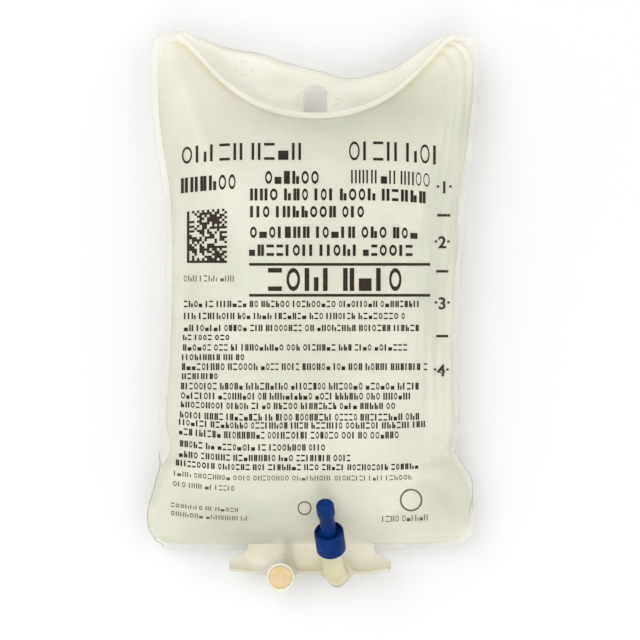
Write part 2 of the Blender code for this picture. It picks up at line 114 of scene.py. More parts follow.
def applyModifiers(piece):
    shown = piece.evaluated_get(bpy.context.evaluated_depsgraph_get())
    mesh = bpy.data.meshes.new_from_object(shown)
    piece.modifiers.clear()
    piece.data = mesh


def smoothStep(t):
    t = np.clip(t, 0.0, 1.0)
    return t * t * (3 - 2 * t)


# Camera, straight above the bag as in the photograph; across is what it sees at the height of the seam
camera = dict(height=914, across=245.6, seam=14, x=1.7, y=0.0, sensor=36)


def makeCamera():
    data = bpy.data.cameras.new("camera")
    data.sensor_width = camera["sensor"]
    data.lens = data.sensor_width * (camera["height"] - camera["seam"]) / camera["across"]
    data.clip_start = 0.05
    bpy.context.scene.camera = addObject("camera", data)
    bpy.context.scene.camera.location = (camera["x"] * mm, camera["y"] * mm, camera["height"] * mm)


# The filled bag: two welded films and the fluid between them, as one clear body. Lengths and places are
# in millimetres
bag = dict(
    film=0.4, halfGap=0.15,
    footY=-86.0, earY=107.3, footX=54.0, apexX=53.6,
    # Weld line on either side, as (y, x) from the foot to the ear
    left=[(-86.0, -54.5), (-85.6, -58.2), (-83.7, -61.2), (-80.6, -63.4), (-76.7, -63.9), (-72.9, -63.5),
          (-69.1, -62.4), (-61.4, -60.4), (-55.6, -58.5), (-51.8, -56.5), (-49.9, -55.4), (-47.2, -55.6),
          (-44.1, -56.6), (-38.4, -57.4), (-30.7, -57.0), (-23.0, -56.2), (-7.7, -55.4), (7.7, -54.9),
          (26.9, -54.7), (38.4, -55.1), (46.0, -55.4), (53.7, -56.2), (61.4, -57.4), (69.1, -58.9),
          (76.7, -59.7), (84.4, -60.2), (95.9, -60.6), (99.8, -60.4), (104.0, -58.8), (106.4, -56.4),
          (107.3, -53.6)],
    right=[(-86.0, 51.0), (-85.3, 54.4), (-82.5, 57.4), (-78.7, 58.8), (-74.8, 59.4), (-69.0, 59.6),
           (-63.3, 58.4), (-59.5, 56.6), (-55.6, 54.0), (-53.7, 51.9), (-51.8, 51.0), (-48.0, 51.6),
           (-44.0, 52.6), (-34.5, 52.9), (-28.0, 52.5), (-23.0, 52.2), (-9.6, 52.3), (3.8, 52.9),
           (11.5, 52.8), (19.2, 53.4), (28.0, 54.2), (38.4, 54.0), (46.0, 54.6), (53.7, 55.9),
           (61.4, 57.0), (69.1, 58.1), (76.7, 59.2), (84.4, 60.2), (95.9, 60.6), (99.8, 60.3),
           (104.0, 58.7), (106.4, 56.3), (107.3, 53.6)],
    arcDepth=30.2, arcHandle=36.0, earHandle=8.0,
    thickness=42.0, seamSide=14.0, seamFoot=8.0, seamTop=11.0,
    crownPower=1.7, contactRise=0.50, contactPower=1.5,
    # The pinch in each side at the waist, and below it the foot lobes, whose flange wraps under
    pinchX=55.4, pinchY=-50.0, pinchValley=3.5, pinchReach=15.0, pinchSpread=6.0,
    flange=2.6, cornerFill=2.2, wrapped=0.8, wrapDrop=1.2, rightWrap=0.45, rightFill=0.7,
    lobeY=-60.0, lobeEase=8,
    # The crinkled flange: its height and length, how far it wanders out and up, how much of it the left
    # side has, where it ends at the top, and the extra at the foot
    crinkle=0.55, crinkleLength=8.5, crinkleOut=1.1, crinkleUp=1.5, leastCrinkle=0.3,
    crinkleTop=102.0, crinkleEase=12, footCrinkle=0.7, footCrinkleY=-40, footCrinkleEase=15,
    # Free edge of the hanger flap, as (x, y) from the left ear to the right
    flap=[(-53.6, 110.9), (-50.1, 110.9), (-47.6, 109.2), (-44.5, 108.2), (-41.6, 107.5), (-36.6, 105.2),
          (-29.0, 103.6), (-23.2, 102.8), (-19.4, 102.0), (-13.6, 99.6), (-5.9, 97.5), (1.7, 95.8),
          (5.6, 94.6), (9.4, 93.3), (13.2, 92.9), (17.1, 93.2), (20.9, 94.0), (24.8, 95.2), (28.6, 96.4),
          (32.4, 98.2), (36.3, 100.6), (40.1, 103.6), (43.9, 106.6), (47.8, 108.7), (51.6, 110.0),
          (53.6, 110.4)],
    flapDroop=1.5, flapLength=16.8, flapWave=0.7, flapWaveX=19, flapWaveY=13,
    weldBand=2.4, bandShare=0.65, weldBead=0.35, beadSpread=0.5,
    stripCentre=-2.1, stripRoot=49.0, stripEnd=62.0, stripFlare=6.0, stripLength=13.4,
    stripWave=0.45, stripWaveX=7, stripWaveY=9,
    curlStart=4.4, curlRadius=7.2, curlBow=1.6,
    bulgeMargin=1.4, bulgeReach=3.0, bulgeFade=11.0, apron=3.4, apronReach=26.0, apronEase=9,
    # Puckers from both side welds, upright folds along the right one, and dents over the crown
    pucker=dict(up=0.55, wide=9.0, tall=6.5, reach=7.0, ease=1.2),
    fold=dict(up=1.25, turn=1.7, wander=1.4, wide=40, tall=26, reach=8.0, ease=1.0, foot=-62, footEase=20),
    dent=dict(up=1.0, wide=34.0, tall=46.0),
    # Soft creases: the line of each as (x, y), its half width and how far it stands up
    creases=[
        dict(line=[(-57.5, 103), (-52, 92), (-45, 72), (-38, 50)], wide=5.0, up=0.9),
        dict(line=[(51.5, 100), (46.5, 84), (42.5, 66), (39, 45), (40, 20)], wide=4.5, up=1.3),
        dict(line=[(57, 96), (54.5, 78), (51.2, 56), (50, 30), (49, 5)], wide=1.7, up=0.6),
        dict(line=[(-54.5, -50.5), (-57.5, -60), (-60.8, -72), (-60.5, -78)], wide=2.0, up=0.9),
        dict(line=[(47, -22), (46.5, -38), (49, -48), (53, -56)], wide=2.2, up=1.0),
        dict(line=[(52, -51), (45, -57), (33, -62)], wide=3.4, up=1.0),
        dict(line=[(-55, -50), (-46, -53), (-36, -57)], wide=3.2, up=0.8),
        dict(line=[(-26, -83), (-30, -76), (-38, -69)], wide=3.0, up=0.7),
        dict(line=[(21, -83), (27, -75), (36, -69)], wide=3.0, up=0.8),
        dict(line=[(8, 74.5), (24, 70), (38, 76)], wide=5.0, up=0.8),
        dict(line=[(43, 2), (43.5, -18), (44.5, -34), (47.5, -49)], wide=1.3, up=0.65),
        dict(line=[(49.5, 12), (50.2, -14), (49.6, -30), (49.4, -46)], wide=1.1, up=0.55),
    ],
    # Patches of painted shade, where the film is painted darker, as (x, y, reach across, reach along,
    # amount)
    paintedShade=[(32, 82, 20, 12, 1.0), (49, -70, 11, 13, 1.0), (-35, -76, 13, 9, 0.8), (-53, -66, 9, 12, 0.45)],
    # Painted yellower shade on the rim: how far in it reaches, and its strength along the sides and port
    # strip
    rimReach=1.3, sideRim=0.4, stripRim=0.4, stripRimReach=6,
    # Cells of the grid, and how far they crowd towards the foot, the ears and the sides
    sideCells=36, stripCells=92, rows=190, bandSteps=14, bandRows=5, stripRows=26,
    rowCrowd=0.13, sideCrowd=1.3,
)
# Places of the bag's materials in its list
finish = dict(film=0, weld=1, strip=2, band=3, flap=4)
ports = dict(
    tube=4.2, wall=1.0, root=-0.3,
    injection=dict(x=-13.3, turn=90, lean=0, straight=4.6),
    outlet=dict(x=9.2, turn=140, lean=-9.5, straight=10.2),
)


def alongKnots(knots, at, reach=2.4, samples=9):
    # Smooth curve through the knots: straight interpolation, evened out over a few millimetres
    places, values = zip(*knots)
    total = np.zeros_like(np.asarray(at, dtype=float))
    weights = 0.0
    for shift in np.linspace(-reach, reach, samples):
        weight = math.cos(shift / reach * 1.3)
        total += weight * np.interp(np.clip(at + shift, places[0], places[-1]), places, values)
        weights += weight
    return total / weights


def sideX(knots, y, corner=6):
    # The ends turn the corner, so they keep the plain interpolation there
    places, values = zip(*knots)
    plain = np.interp(y, places, values)
    inside = smoothStep((y - places[0]) / corner - 0.5) * smoothStep((places[-1] - y) / corner - 0.5)
    return plain + (alongKnots(knots, y) - plain) * inside


def arcHeight(x):
    # Height up the sheet of the concave hanger weld
    arcY = bag["earY"] - bag["arcDepth"]
    low, high = Vector((0, arcY, 0)), Vector((bag["apexX"], bag["earY"], 0))
    line = interpolate_bezier(
        low, low + Vector((bag["arcHandle"], 0, 0)), high - Vector((bag["earHandle"], 0, 0)), high, 80)
    return np.interp(np.abs(x), [p.x for p in line], [p.y for p in line])


def seamHeight(y):
    # The weld stands highest halfway up the sides and lower at the foot and the ears
    v = np.clip((y - bag["footY"]) / (bag["earY"] - bag["footY"]), 0, 1)
    foot, top = np.maximum(1 - 2 * v, 0), np.maximum(2 * v - 1, 0)
    side = bag["seamSide"]
    return side - (side - bag["seamFoot"]) * foot ** 3 - (side - bag["seamTop"]) * top ** 3


def tubeBulge(x, pastWeld):
    # How far the films stand apart round the port tubes
    fade = smoothStep(1 + pastWeld / bag["bulgeFade"])
    turn = np.maximum(pastWeld - bag["curlStart"], 0) / bag["curlRadius"]
    total = np.zeros_like(x * 1.0)
    for name in ("injection", "outlet"):
        port = ports[name]
        centre = port["x"] + bag["curlRadius"] * (1 - np.cos(turn)) * math.sin(math.radians(port["lean"]))
        away = np.abs(x - centre) / (ports["tube"] + bag["bulgeReach"])
        height = (ports["tube"] + bag["bulgeMargin"]) * (1 + np.cos(math.pi * np.minimum(away, 1))) / 2
        total = np.maximum(total, height)
    apron = smoothStep((bag["apronReach"] - np.abs(x - bag["stripCentre"])) / bag["apronEase"])
    apron = bag["apron"] * apron * smoothStep(1 - pastWeld / bag["stripLength"])
    return (total ** 3 + apron ** 3) ** (1 / 3) * fade


def chamberPlan():
    # Plan of the chamber: a grid blended between its foot, its sides and the hanger arc
    t = np.linspace(0, 1, bag["rows"] + 1)
    y = bag["footY"] + (bag["earY"] - bag["footY"]) * (t - bag["rowCrowd"] * np.sin(2 * math.pi * t))
    inner = bag["stripRoot"] / 2 / bag["footX"]
    side = 1 - (1 - inner) * (np.arange(bag["sideCells"]) / bag["sideCells"]) ** bag["sideCrowd"]
    middle = np.linspace(inner, -inner, bag["stripCells"] + 1)
    u = np.concatenate([side, middle, -side[::-1]])[::-1]
    v = ((y - bag["footY"]) / (bag["earY"] - bag["footY"]))[:, None]
    left, right = sideX(bag["left"], y)[:, None], sideX(bag["right"], y)[:, None]
    shift = smoothStep((np.abs(u) - inner) / (1 - inner))
    corner = np.where(u < 0, bag["left"][0][1] + bag["footX"], bag["right"][0][1] - bag["footX"])
    footX = u * bag["footX"] + bag["stripCentre"] * (1 - u * u) + corner * shift
    topX, topY = u * bag["apexX"], arcHeight(u * bag["apexX"])
    share = (u + 1) / 2
    sideBlend = left * (1 - share) + right * share
    footBlend = footX[0] * (1 - share) + footX[-1] * share
    topBlend = topX[0] * (1 - share) + topX[-1] * share
    x = footX * (1 - v) + topX * v + sideBlend - (footBlend * (1 - v) + topBlend * v)
    yAll = bag["footY"] * (1 - v) + topY * v + y[:, None] - (bag["footY"] * (1 - v) + bag["earY"] * v)
    return x, yAll


def inflate(x, y, sweeps=900, push=1.96):
    # Height of a skin blown up over the plan and held at its rim, 0 at the weld and 1 at the crown. Every
    # other cell is evened out in turn, and pushed past its new height so that the whole settles sooner
    stepX = np.hypot(np.diff(x, axis=1), np.diff(y, axis=1))[1:-1]
    stepY = np.hypot(np.diff(x, axis=0), np.diff(y, axis=0))[:, 1:-1]
    wide = (stepX[:, 1:] + stepX[:, :-1]) / 2
    tall = (stepY[1:] + stepY[:-1]) / 2
    right, left = tall / stepX[:, 1:], tall / stepX[:, :-1]
    up, down = wide / stepY[1:], wide / stepY[:-1]
    total = right + left + up + down
    load = wide * tall
    height = np.zeros_like(x)
    j, i = np.indices(total.shape)
    for _ in range(sweeps):
        for colour in (0, 1):
            new = (load + right * height[1:-1, 2:] + left * height[1:-1, :-2]
                   + up * height[2:, 1:-1] + down * height[:-2, 1:-1]) / total
            chosen = (i + j) % 2 == colour
            inside = height[1:-1, 1:-1]
            inside[chosen] += push * (new - inside)[chosen]
    return height / height.max()


def ripple(x, y, scaleX, scaleY, seed):
    # Smooth wandering folds, from -1 to 1
    flat = [noise.noise(Vector((a / scaleX, b / scaleY, seed))) for a, b in zip(np.ravel(x), np.ravel(y))]
    return np.array(flat).reshape(np.shape(x)) * 1.6


def creaseHeights(x, y):
    # Soft ridges along the crease lines, fading out at their ends
    total = np.zeros_like(x)
    for crease in bag["creases"]:
        line = np.array(crease["line"], dtype=float)
        parts = np.hypot(*np.diff(line, axis=0).T)
        near, along = np.full(x.shape, 1e9), np.zeros_like(x)
        for a, b, start, part in zip(line, line[1:], np.cumsum(parts) - parts, parts):
            t = np.clip(((x - a[0]) * (b[0] - a[0]) + (y - a[1]) * (b[1] - a[1])) / part ** 2, 0, 1)
            away = np.hypot(x - a[0] - t * (b[0] - a[0]), y - a[1] - t * (b[1] - a[1]))
            along = np.where(away < near, start + t * part, along)
            near = np.minimum(near, away)
        spot = along / parts.sum()
        fade = smoothStep(spot / 0.3) * smoothStep((1 - spot) / 0.4)
        total += crease["up"] * np.exp(-(near / crease["wide"]) ** 2) * fade
    return total


def chamberHeights(x, y, fill):
    # Inner faces of the back and the front film, before the films' own thickness
    seam = seamHeight(y)
    crown = bag["thickness"] - bag["film"] - bag["halfGap"] - bag["seamSide"]
    rise = crown * (1 - (1 - fill) ** bag["crownPower"])
    sideReach = np.maximum((bag["pinchX"] - np.abs(x)) / bag["pinchReach"], 0)
    crease = np.exp(-((y - bag["pinchY"]) / bag["pinchSpread"]) ** 2) * np.exp(-sideReach ** 2)
    rise = rise - np.minimum(bag["pinchValley"], 0.5 * rise) * crease
    apart = tubeBulge(x, bag["footY"] - y)
    front = seam + bag["halfGap"] + (rise ** 3 + apart ** 3) ** (1 / 3)
    lift = np.maximum((bag["contactRise"] - fill) / bag["contactRise"], 0) ** bag["contactPower"]
    back = bag["film"] + (seam - bag["halfGap"] - bag["film"]) * lift
    back = np.minimum(back, seam - bag["halfGap"] - apart)
    return np.maximum(back, bag["film"]), front


def flapHeight(x):
    places, values = zip(*bag["flap"])
    return np.interp(x, places, values)


def flapPoint(side, p, step):
    # Past the hanger weld: over the milky band, then on to the free edge of the flap
    free = float(flapHeight(p.x))
    band = min(bag["weldBand"], bag["bandShare"] * (free - p.y))
    past = (step - bag["bandRows"]) / (bag["bandSteps"] - bag["bandRows"])
    out = band * step / bag["bandRows"] if past <= 0 else band + (free - p.y - band) * past ** 1.2
    place = Vector((p.x, p.y + out, 0))
    wave = float(ripple(p.x + place.y, place.y, bag["flapWaveX"], bag["flapWaveY"], 2.2))
    height = float(seamHeight(p.y)) + side * bag["halfGap"]
    height -= bag["flapDroop"] * float(smoothStep(out / bag["flapLength"]))
    height += bag["flapWave"] * wave * min(out / 5, 1)
    height += side * bag["weldBead"] * math.exp(-((out - band) / bag["beadSpread"]) ** 2)
    return place.x, place.y, height


def flangePoint(side, p, n, share, atFoot):
    # Past the other welds: out along n over the flange, which wraps under the foot lobes and is crinkled
    onLeft = n.x < 0
    lobe = float(smoothStep((bag["pinchY"] - p.y) / bag["lobeEase"]) * smoothStep(abs(n.x) * 1.15))
    lobe *= 1.0 if onLeft else bag["rightWrap"]
    filled = 1 - float(smoothStep((bag["lobeY"] - p.y) / 6)) * (1.0 if onLeft else bag["rightFill"])
    wide = bag["flange"] + bag["cornerFill"] * filled * (2 * n.x * n.y) ** 2
    wide += (bag["wrapped"] - wide) * lobe
    least = bag["leastCrinkle"]
    rough = float(least + (1 - least) * smoothStep(n.x * 1.4))
    rough *= float(smoothStep((bag["crinkleTop"] - p.y) / bag["crinkleEase"]))
    atLobe = float(smoothStep((bag["footCrinkleY"] - p.y) / bag["footCrinkleEase"]))
    rough *= bag["crinkle"] * share * (1 + bag["footCrinkle"] * atLobe)
    wave = ripple((p.x, p.x + 50), (p.y, p.y), bag["crinkleLength"], bag["crinkleLength"], 5.3)
    place = p + n * (wide * share + rough * bag["crinkleOut"] * float(wave[0]))
    height = float(seamHeight(p.y)) + side * bag["halfGap"]
    height += rough * bag["crinkleUp"] * float(wave[1]) - bag["wrapDrop"] * lobe * share
    if atFoot:
        height += side * float(tubeBulge(np.array(place.x), bag["footY"] - place.y))
    return place.x, place.y, height


def stripPoint(side, spot, row):
    # The port strip flares, curls up past the foot and swells round the tubes
    past = bag["flange"] + (bag["stripLength"] - bag["flange"]) * row / bag["stripRows"]
    flare = 1 + (bag["stripEnd"] / bag["stripRoot"] - 1) * float(
        smoothStep((past - bag["flange"]) / bag["stripFlare"]))
    across = bag["stripCentre"] + bag["stripRoot"] * (spot - 0.5) * flare
    bow = bag["curlBow"] * ((across - bag["stripCentre"]) / (bag["stripEnd"] / 2)) ** 2
    start = bag["curlStart"] - bow
    turn = max(past - start, 0) / bag["curlRadius"]
    middle = Vector((across, bag["footY"] - min(past, start) - bag["curlRadius"] * math.sin(turn),
                     bag["seamFoot"] + bag["curlRadius"] * (1 - math.cos(turn))))
    normal = Vector((0, math.sin(turn), math.cos(turn)))
    apart = bag["halfGap"] + float(tubeBulge(np.array(across), past))
    wave = float(ripple(across, past, bag["stripWaveX"], bag["stripWaveY"], 9.1)) * min(row / 8, 1)
    return middle + normal * (side * apart + bag["stripWave"] * wave)


def extrudeRow(bm, row, closed=False):
    # Extrudes a row of vertices; returns the new vertices in the same order, and the new faces
    edges = [bm.edges.get((a, b)) for a, b in zip(row, row[1:] + row[:1] if closed else row[1:])]
    made = bmesh.ops.extrude_edge_only(bm, edges=edges)["geom"]
    fresh = {g for g in made if isinstance(g, bmesh.types.BMVert)}
    grown = [next(e.other_vert(v) for e in v.link_edges if e.other_vert(v) in fresh) for v in row]
    return grown, [g for g in made if isinstance(g, bmesh.types.BMFace)]


def filmSheet(side, plan, heights, tones):
    # Outer face of one film: the chamber, the flange and flap round it and the curled port strip
    x, y = plan
    rows, cols = x.shape
    bm = bmesh.new()
    layers = [bm.verts.layers.float.new(name) for name in tones]
    amounts = np.stack([amount.ravel() for amount in tones.values()], axis=1)
    bmesh.ops.create_grid(bm, x_segments=cols - 1, y_segments=rows - 1, size=1)
    ordered = sorted(bm.verts, key=lambda v: (round(v.co.y, 5), round(v.co.x, 5)))
    z = heights[0 if side < 0 else 1].copy()
    rim = seamHeight(y) + side * (bag["halfGap"] + tubeBulge(x, bag["footY"] - y))
    for edge in (np.s_[0, :], np.s_[-1, :], np.s_[:, 0], np.s_[:, -1]):
        z[edge] = rim[edge]
    for vert, place, amount in zip(ordered, zip(x.ravel(), y.ravel(), z.ravel()), amounts):
        vert.co = place
        for layer, value in zip(layers, amount):
            vert[layer] = value
    grid = [ordered[j * cols:(j + 1) * cols] for j in range(rows)]
    ring = ([(0, i) for i in range(cols)] + [(j, cols - 1) for j in range(1, rows)]
            + [(rows - 1, i) for i in range(cols - 2, -1, -1)] + [(j, 0) for j in range(rows - 2, 0, -1)])
    outline = [Vector((x[j, i], y[j, i], 0)) for j, i in ring]
    current = [grid[j][i] for j, i in ring]
    for step in range(1, bag["bandSteps"] + 1):
        share = step / bag["bandSteps"]
        current, faces = extrudeRow(bm, current, closed=True)
        for face in faces:
            # The foot weld between the tubes belongs to the port strip
            atFoot = max(v.co.y for v in face.verts) < bag["footY"] + 0.2
            overStrip = abs(face.calc_center_median().x - bag["stripCentre"]) < bag["stripRoot"] / 2
            milky = "band" if step <= bag["bandRows"] else "weld"
            face.material_index = finish["strip" if atFoot and overStrip else milky]
        for k, (j, _) in enumerate(ring):
            p = outline[k]
            along = (outline[(k + 1) % len(ring)] - outline[k - 1]).normalized()
            if j == rows - 1:
                current[k].co = flapPoint(side, p, step)
            else:
                current[k].co = flangePoint(side, p, Vector((along.y, -along.x, 0)), share, j == 0)
    strip = current[bag["sideCells"]:bag["sideCells"] + bag["stripCells"] + 1]
    for row in range(1, bag["stripRows"] + 1):
        strip, faces = extrudeRow(bm, strip)
        for face in faces:
            face.material_index = finish["strip"]
        for k, vert in enumerate(strip):
            vert.co = stripPoint(side, k / bag["stripCells"], row)
    # Only the hanger arc has the milky band, and past it comes the flap
    welded = [face for face in bm.faces if face.material_index in (finish["weld"], finish["band"])]
    centres = np.array([face.calc_center_median() for face in welded])
    for face, centre, out in zip(welded, centres, centres[:, 1] - arcHeight(centres[:, 0])):
        if out < 0:
            face.material_index = finish["weld"]
        elif face.material_index == finish["weld"] and abs(centre[0]) < bag["apexX"]:
            face.material_index = finish["flap"]
    bmesh.ops.recalc_face_normals(bm, faces=bm.faces)
    bm.normal_update()
    if sum(f.normal.z * f.calc_area() for f in bm.faces) * side < 0:
        bmesh.ops.reverse_faces(bm, faces=bm.faces)
        bm.normal_update()
    for vert, push in [(v, v.normal.copy()) for v in bm.verts]:
        vert.co += push * bag["film"]
    return bm


hanger = dict(width=8.6, height=9.8, overWeld=3.0, sides=40, cutterHeight=30)


def makeHoleCutter():
    # The arched hole: the upper half of a circle on straight sides, run up through both films
    low = bag["earY"] - bag["arcDepth"] + hanger["overWeld"]
    radius = hanger["width"] / 2
    bm = bmesh.new()
    made = bmesh.ops.create_circle(bm, cap_ends=True, segments=hanger["sides"], radius=radius)
    for vert in made["verts"]:
        if vert.co.y < 0:
            vert.co = (math.copysign(radius, vert.co.x) if abs(vert.co.x) > 0.4 * radius else vert.co.x,
                       -(hanger["height"] - radius) if abs(vert.co.x) < 0.94 * radius else vert.co.y, 0)
    bmesh.ops.translate(bm, vec=(0, low + hanger["height"] - radius, 0), verts=bm.verts)
    grown = bmesh.ops.extrude_face_region(bm, geom=list(bm.faces))["geom"]
    bmesh.ops.translate(bm, vec=(0, 0, hanger["cutterHeight"]),
                        verts=[g for g in grown if isinstance(g, bmesh.types.BMVert)])
    bmesh.ops.recalc_face_normals(bm, faces=bm.faces)
    return addObject("hole", meshFrom("hole", bm))


def addFolds(front, x, y, fill, fromSide):
    # Puckers run in from the side welds, soft dents cross the crown, and creases follow their own lines
    pucker, fold, dent = bag["pucker"], bag["fold"], bag["dent"]
    rise = ripple(x, y, pucker["wide"], pucker["tall"], 3.1) * np.exp(-fromSide / pucker["reach"])
    rise *= 1 - np.exp(-fromSide / pucker["ease"])
    fromRight = np.abs(x[:, -1:] - x)
    wander = fold["wander"] * ripple(x, y, fold["wide"], fold["tall"], 6.4)
    upright = np.sin(fromRight * fold["turn"] + wander) * np.exp(-fromRight / fold["reach"])
    upright *= 1 - np.exp(-fromRight / fold["ease"])
    rise += fold["up"] * upright * smoothStep((y - fold["foot"]) / fold["footEase"])
    hollow = ripple(x, y, dent["wide"], dent["tall"], 8.7) * smoothStep(fill / 0.6)
    front = front + pucker["up"] * rise + dent["up"] * (hollow - 1.0) * smoothStep(fill / 0.5)
    return front + creaseHeights(x, y) * (1 - np.exp(-fromSide / 1.5))


def filmTones(x, y, fromSide):
    # From 0 to 1: how far the rim is painted yellower as shade, and how far patches are painted darker as
    # shade
    rim = np.maximum(np.exp(-((y[-1:, :] - y) / bag["rimReach"]) ** 2),
                     bag["sideRim"] * np.exp(-(fromSide / bag["rimReach"]) ** 2))
    overStrip = smoothStep((bag["stripRoot"] / 2 + 3 - np.abs(x - bag["stripCentre"])) / 6)
    foot = np.exp(-((y - bag["footY"]) / bag["stripRimReach"]) ** 2)
    rim = np.maximum(rim, bag["stripRim"] * overStrip * foot)
    # Patches of painted shade, darker towards their middles
    paintedShade = sum(amount * np.exp(-((x - spotX) / wide) ** 2 - ((y - spotY) / tall) ** 2)
               for spotX, spotY, wide, tall, amount in bag["paintedShade"])
    return {"paintedRimShade": rim, "paintedShade": paintedShade}


def makeFilledBag():
    x, y = chamberPlan()
    fill = inflate(x, y)
    back, front = chamberHeights(x, y, fill)
    fromSide = np.minimum(np.abs(x - x[:, :1]), np.abs(x[:, -1:] - x))
    front = addFolds(front, x, y, fill, fromSide)
    tones = filmTones(x, y, fromSide)
    bm = filmSheet(1, (x, y), (back, front), tones)
    other = filmSheet(-1, (x, y), (back, front), tones)
    spare = bpy.data.meshes.new("spare")
    other.to_mesh(spare)
    other.free()
    bm.from_mesh(spare)
    bpy.data.meshes.remove(spare)
    joined = bmesh.ops.bridge_loops(bm, edges=[e for e in bm.edges if e.is_boundary])
    for face in joined["faces"]:
        pastFoot = face.calc_center_median().y < bag["footY"] - bag["flange"]
        face.material_index = finish["strip" if pastFoot else "band"]
    bmesh.ops.recalc_face_normals(bm, faces=bm.faces)
    made = dict(
        film=filmMaterial(), strip=stripMaterial(),
        weld=weldMaterial("RF welded", "#f9f8ec", "#fdfcf5", 0.88, 0.45, 0.16),
        band=weldMaterial("RF welded, milky band", "#f0eee0", "#f6f4e8", 0.4, 1.0, 0.35),
        flap=weldMaterial("RF welded, flap", "#f8f6e5", "#fcfaef", 0.7, 0.7, 0.16))
    piece = finishPiece("filledBag", bm, [made[part] for part in finish])
    cutter = makeHoleCutter()
    hole = piece.modifiers.new("hanger hole", "BOOLEAN")
    hole.operation = "DIFFERENCE"
    hole.solver = "EXACT"
    hole.object = cutter
    applyModifiers(piece)
    bpy.data.objects.remove(cutter)
    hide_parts("front_film", "back_film", "saline_fill")
    print("filled bag:", len(piece.data.polygons), "faces")
    return piece


# Materials. Pattern sizes are in millimetres: one over a size in metres is the noise's scale
def polymerMaterial(name, dark, light, patch, grain, depth, values, strength=0.3, detail=3,
                    ends=(0.3, 0.7), tints=()):
    # A polymer's colour wanders over patches, and its skin has a grain, never under 0.4 mm, since a finer
    # one would vanish in the render. A tint is an attribute of the mesh and the colours it multiplies in
    made, tree, shader = newMaterial(name, values)
    place = addNode(tree, "ShaderNodeTexCoord").outputs["Object"]
    cloud = addNode(tree, "ShaderNodeTexNoise",
                    inputs={"Vector": place, "Scale": 1 / (patch * mm), "Detail": detail})
    colour = addNode(tree, "ShaderNodeValToRGB", inputs={"Fac": cloud.outputs["Fac"]},
                     stops=[(ends[0], dark), (ends[1], light)]).outputs["Color"]
    for attribute, stops in tints:
        amount = addNode(tree, "ShaderNodeAttribute", {"attribute_name": attribute})
        tint = addNode(tree, "ShaderNodeValToRGB", inputs={"Fac": amount.outputs["Fac"]}, stops=stops)
        colour = addNode(tree, "ShaderNodeMix", {"data_type": "RGBA", "blend_type": "MULTIPLY"},
                         {0: 1.0, 6: colour, 7: tint.outputs["Color"]}).outputs[2]
    tree.links.new(colour, shader.inputs["Base Color"])
    skin = addNode(tree, "ShaderNodeTexNoise",
                   inputs={"Vector": place, "Scale": 1 / (grain * mm), "Detail": 2})
    bump = addNode(tree, "ShaderNodeBump",
                   inputs={"Strength": strength, "Distance": depth * mm, "Height": skin.outputs["Fac"]})
    tree.links.new(bump.outputs["Normal"], shader.inputs["Normal"])
    return made


def filmMaterial():
    # Calendered film over fluid: clear with a grey-cream cast and a soft gloss. Its thickness wanders over
    # some 35 mm and its skin has an orange peel of 1.1 mm. The rim along the weld is painted yellower as
    # shade, and a few patches are painted darker as shade
    return polymerMaterial(
        "plasticised PVC film (calendered) over saline", "#ebecdc", "#faf7e9", 35, 1.1, 0.2,
        {"Roughness": 0.22, "IOR": 1.36, "Transmission Weight": 0.42, "Coat Weight": 0.2,
         "Coat Roughness": 0.14}, strength=0.12, ends=(0.34, 0.66),
        # Painted shade: the rim and the patches multiply a yellower and a darker colour into the film
        tints=[("paintedRimShade", [(0.25, "#ffffff"), (0.95, "#f9f6e8")]),
               ("paintedShade", [(0.0, "#ffffff"), (1.0, "#edeee8")])])


def weldMaterial(how, dark, light, transmission, alpha, emboss):
    # The same film, radio-frequency welded: glossy, and embossed by the grip lines of the die, 2.4 mm
    # apart. A narrow band that was melted hardest is milky, the flap past it is creamy, and the thin
    # flange lets light straight through
    return polymerMaterial(
        "plasticised PVC film (" + how + ")", dark, light, 16, 2.4, 0.3,
        {"Roughness": 0.12, "IOR": 1.36, "Transmission Weight": transmission, "Alpha": alpha,
         "Coat Weight": 0.3, "Coat Roughness": 0.1}, strength=emboss)


def stripMaterial():
    # Film welded over the port tubes: two melted layers and the tubes' plasticiser make it milkier
    # and yellower, in patches of about 11 mm, with a dimpled skin of 1.6 mm
    return polymerMaterial(
        "plasticised PVC film (welded over ports)", "#eeead0", "#f5f2e2", 11, 1.6, 0.2,
        {"Roughness": 0.24, "IOR": 1.30, "Transmission Weight": 0.34, "Coat Weight": 0.25,
         "Coat Roughness": 0.12}, strength=0.2)


def tubeMaterial():
    # Extruded PVC, soft with plasticiser: cream and waxy, since light runs some way through its wall
    return polymerMaterial(
        "flexible PVC tube (extruded)", "#cbc39c", "#d6cfae", 5.5, 0.7, 0.04,
        {"Roughness": 0.32, "IOR": 1.52, "Subsurface Weight": 0.25,
         "Subsurface Radius": (0.004, 0.003, 0.0015), "Subsurface Scale": 1.0}, detail=4)


def sleeveMaterial():
    # Moulded PVC without colour: paler and glossier than the tube, and milky through its thin wall
    return polymerMaterial(
        "translucent PVC sleeve (moulded)", "#e6dfc2", "#f2eddb", 4.5, 0.55, 0.03,
        {"Roughness": 0.22, "IOR": 1.52, "Subsurface Weight": 0.3,
         "Subsurface Radius": (0.004, 0.003, 0.002), "Subsurface Scale": 1.0}, detail=4)


def rubberMaterial():
    # Moulded isoprene rubber: tan and matt, with as fine a grain as shows
    return polymerMaterial(
        "reseal isoprene rubber (moulded)", "#d2b988", "#dec79b", 3.8, 0.42, 0.05,
        {"Roughness": 0.55, "IOR": 1.50, "Specular IOR Level": 0.35}, detail=4)


def capMaterial():
    # Injection-moulded polyethylene: a deep blue with a satin skin that hardly shines
    return polymerMaterial(
        "blue polyethylene cap (injection moulded)", "#002459", "#003172", 7, 1.1, 0.06,
        {"Roughness": 0.36, "IOR": 1.51, "Specular IOR Level": 0.08}, detail=4)


